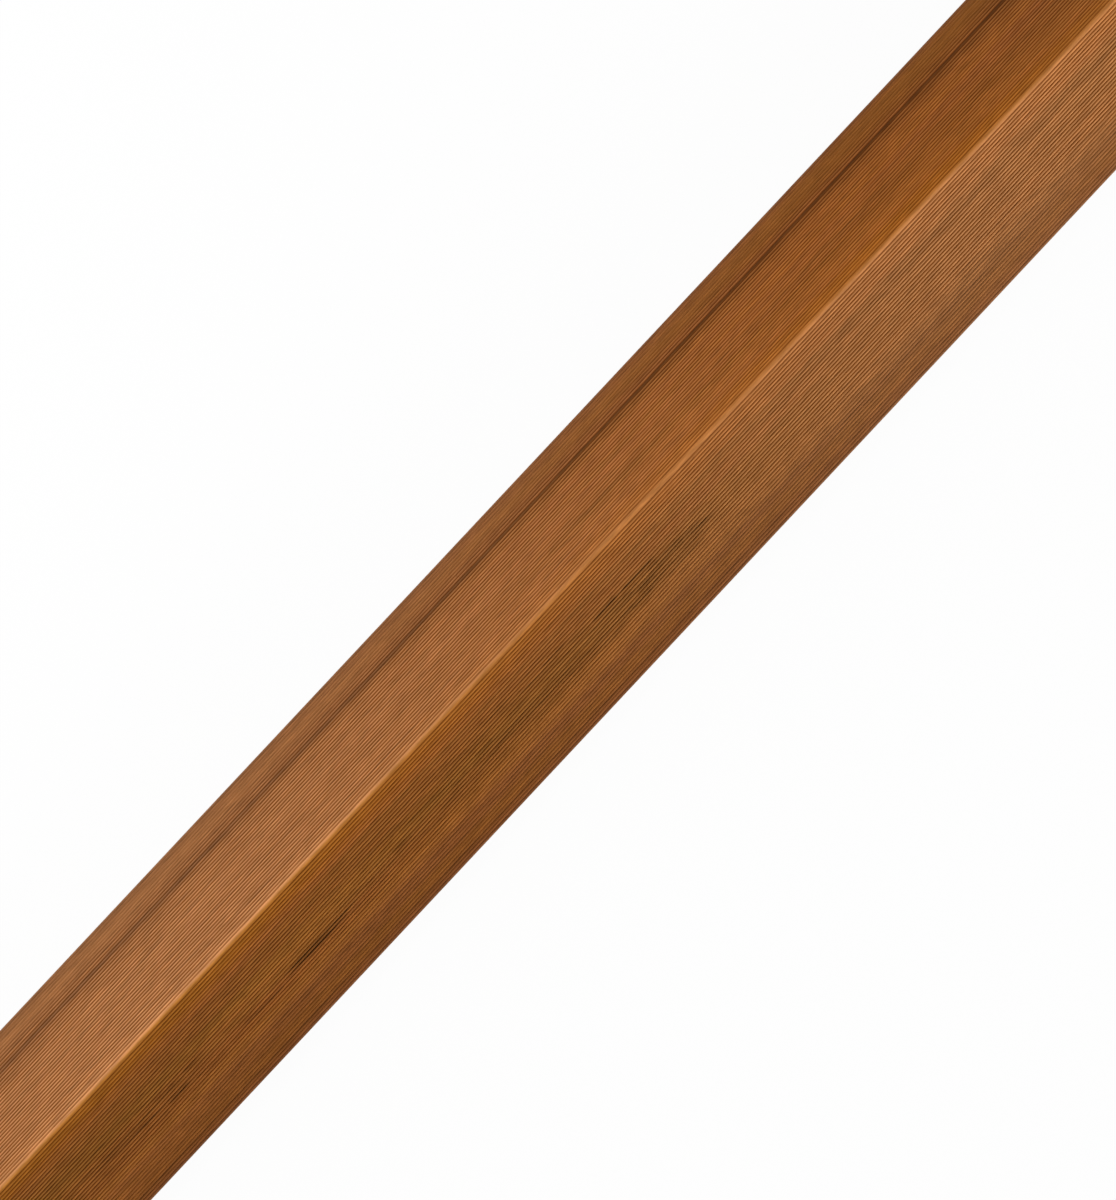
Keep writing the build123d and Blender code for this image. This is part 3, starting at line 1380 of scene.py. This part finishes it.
    def dress(self, trim: bpy.types.Object, kit: GroupKit) -> None:
        """Gives the trim its skin and its sawn ends.

        Args:
            trim: the trim's object.
            kit: the node groups.
        """
        trim.data.materials.append(SkinFinish().material(kit))
        trim.data.materials.append(SawnFinish().material(kit))
        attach(trim, TRIM_BODY)
        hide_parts(TRIM_NODE)


@dataclass(frozen=True)
class SoftLamp:
    """A soft lamp that faces the middle of the trim.

    Args:
        name: what it is called.
        place: where it is.
        width: its width.
        height: its height.
        power: its power in watts.
    """

    name: str
    place: tuple[float, float, float]
    width: float
    height: float
    power: float


@dataclass(frozen=True)
class PictureView:
    """A parallel view down onto the arris.

    Args:
        height: what the picture's height covers.
        turn: how far the trim's run is turned from the picture's horizontal, in degrees.
        lean: how far the view leans from straight down, in degrees, so that it sees more of the -Y leg.
        offset: how far the sharp outer corner is from the picture's middle, towards +Y.
        distance: from the trim to the camera.
    """

    height: float = 0.3707
    turn: float = 46.87
    lean: float = 2.34
    offset: float = 0.00138
    distance: float = 2.0


@dataclass
class Studio:
    """The floor, the light and the camera.

    Args:
        corner_height: height of the trim's sharp outer corner.
        view: the picture's view.
        floor_size: the floor's side.
        floor_colour: the floor's colour.
        floor_glow: how much of the floor's look is plain white, the rest being lit.
        world_strength: how bright the surroundings are as light.
        lamps: the soft lamps.
    """

    corner_height: float
    view: PictureView = PictureView()
    floor_size: float = 30.0
    floor_colour: Colour = (0.85, 0.85, 0.85)
    floor_glow: float = 0.96
    world_strength: float = 0.20
    lamps: tuple[SoftLamp, ...] = (
        SoftLamp("lamp_plus_y", (-0.30, 0.55, 0.45), 0.6, 0.6, 5.2),
        SoftLamp("lamp_minus_y", (0.90, -1.00, 0.36), 0.6, 0.6, 17.6),
        SoftLamp("lamp_plus_x", (2.20, 0.00, 0.60), 0.6, 0.6, 8.0),
        SoftLamp("lamp_minus_x", (-2.20, 0.00, 0.60), 0.6, 0.6, 8.0),
    )

    @staticmethod
    def seen_directly(pen: NodePen) -> Socket:
        """1 for what the camera sees, by itself or in a gloss or a glass, and 0 for light on its way.

        Args:
            pen: the pen of the material or the world.

        Returns:
            The switch.
        """
        path = pen.node("ShaderNodeLightPath").outputs
        seen = pen.math("MAXIMUM", path["Is Camera Ray"], path["Is Glossy Ray"])
        return pen.math("MAXIMUM", seen, path["Is Transmission Ray"])

    def build_floor(self) -> None:
        """Lays the floor: white as it is seen, apart from the share that is lit and shaded."""
        half = self.floor_size / 2
        corners = [(-half, -half, 0.0), (half, -half, 0.0), (half, half, 0.0), (-half, half, 0.0)]
        mesh = bpy.data.meshes.new("floor")
        mesh.from_pydata(corners, [], [(0, 1, 2, 3)])
        floor = bpy.data.objects.new("floor", mesh)
        bpy.context.scene.collection.objects.link(floor)
        material = bpy.data.materials.new("pale_floor")
        material.use_nodes = True
        material.node_tree.nodes.clear()
        pen = NodePen(material.node_tree)
        lit = pen.node("ShaderNodeBsdfDiffuse")
        pen.feed(lit.inputs["Color"], self.floor_colour)
        glow = pen.node("ShaderNodeEmission")
        mixed = pen.node("ShaderNodeMixShader")
        pen.feed(mixed.inputs[0], pen.times(self.seen_directly(pen), self.floor_glow))
        pen.feed(mixed.inputs[1], lit.outputs[0])
        pen.feed(mixed.inputs[2], glow.outputs[0])
        pen.feed(pen.node("ShaderNodeOutputMaterial").inputs["Surface"], mixed.outputs[0])
        mesh.materials.append(material)

    def build_world(self) -> None:
        """Sets even white surroundings, which look plain white and light the trim at the studio's level."""
        world = bpy.data.worlds.new("white_studio")
        world.use_nodes = True
        bpy.context.scene.world = world
        pen = NodePen(world.node_tree)
        background = world.node_tree.nodes["Background"]
        pen.feed(background.inputs["Color"], (1.0, 1.0, 1.0))
        strength = pen.between(self.seen_directly(pen), self.world_strength, 1.0)
        pen.feed(background.inputs["Strength"], strength)

    def build_lamps(self) -> None:
        """Hangs the soft lamps to face the middle of the trim, unseen by the camera and in any gloss."""
        target = Vector((0.0, 0.0, self.corner_height))
        for lamp in self.lamps:
            data = bpy.data.lights.new(lamp.name, "AREA")
            data.shape = "RECTANGLE"
            data.size = lamp.width
            data.size_y = lamp.height
            data.energy = lamp.power
            made = bpy.data.objects.new(lamp.name, data)
            made.location = lamp.place
            made.rotation_euler = (target - made.location).to_track_quat("-Z", "Y").to_euler()
            made.visible_camera = False
            made.visible_glossy = False
            bpy.context.scene.collection.objects.link(made)

    def build_camera(self) -> None:
        """Sets up the parallel view, with the picture's right and up worked out from its turn and lean."""
        turn, lean = radians(self.view.turn), radians(self.view.lean)
        along = Vector((1.0, 0.0, 0.0))
        over = Vector((0.0, cos(lean), sin(lean)))
        back = along.cross(over)
        right = cos(turn) * along - sin(turn) * over
        up = sin(turn) * along + cos(turn) * over
        middle = Vector((0.0, 0.0, self.corner_height)) - self.view.offset * over
        data = bpy.data.cameras.new("picture_view")
        data.type = "ORTHO"
        data.ortho_scale = self.view.height
        camera = bpy.data.objects.new("picture_view", data)
        axes = Matrix((right, up, back)).transposed().to_4x4()
        camera.matrix_world = Matrix.Translation(middle + self.view.distance * back) @ axes
        bpy.context.scene.collection.objects.link(camera)
        bpy.context.scene.camera = camera

    def build(self) -> None:
        """Builds the whole studio."""
        self.build_floor()
        self.build_world()
        self.build_lamps()
        self.build_camera()
        bpy.context.scene.view_settings.view_transform = "Standard"


def main() -> None:
    """Builds and dresses the trim, then the studio round it."""
    logging.basicConfig(level=logging.INFO, format="%(name)s: %(message)s")
    low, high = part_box(TRIM_NODE)
    section = AngleSection.from_box(low, high)
    trim = ReededTrim(section, low.x, high.x)
    piece = trim.build()
    trim.dress(piece, GroupKit(DrawnNoise(), StreakMask(), FlameMask()))
    LOG.info("%s: %d faces", piece.name, len(piece.data.polygons))
    Studio(section.corner_height).build()


if __name__ == "__main__":
    main()
